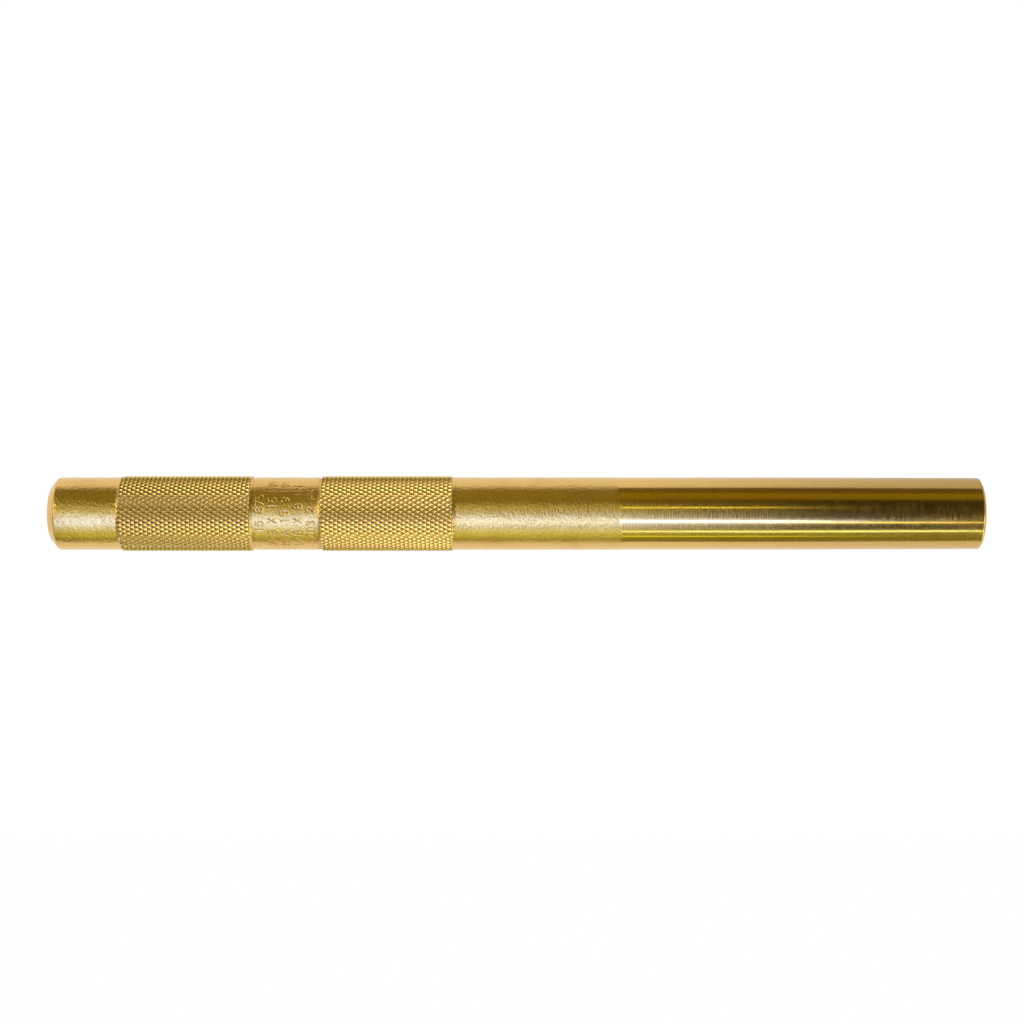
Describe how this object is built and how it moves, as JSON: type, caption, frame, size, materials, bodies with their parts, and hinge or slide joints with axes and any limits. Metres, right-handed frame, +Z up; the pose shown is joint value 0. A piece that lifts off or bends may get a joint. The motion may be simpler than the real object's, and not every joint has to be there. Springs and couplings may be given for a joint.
{
  "type": "drift punch",
  "caption": "Solid round brass drift punch with two diamond-knurled grip bands, a plain marking land between them, a chamfered struck end and a slim straight working end.",
  "frame": {"origin": "mid-length of the bar, on the line where the ends of its knurled bands touch the bench as it lies down", "axes": "+X along the bar's axis, from the struck face to the working face; +Z up, away from the bench, through the stamped size marking; +Y completes the right-handed frame"},
  "size_m": [0.2032, 0.0164, 0.0164],
  "materials": {
    "brass": "satin"
  },
  "bodies": {
    "root": {"drift_bar": "brass"}
  },
  "joints": []
}
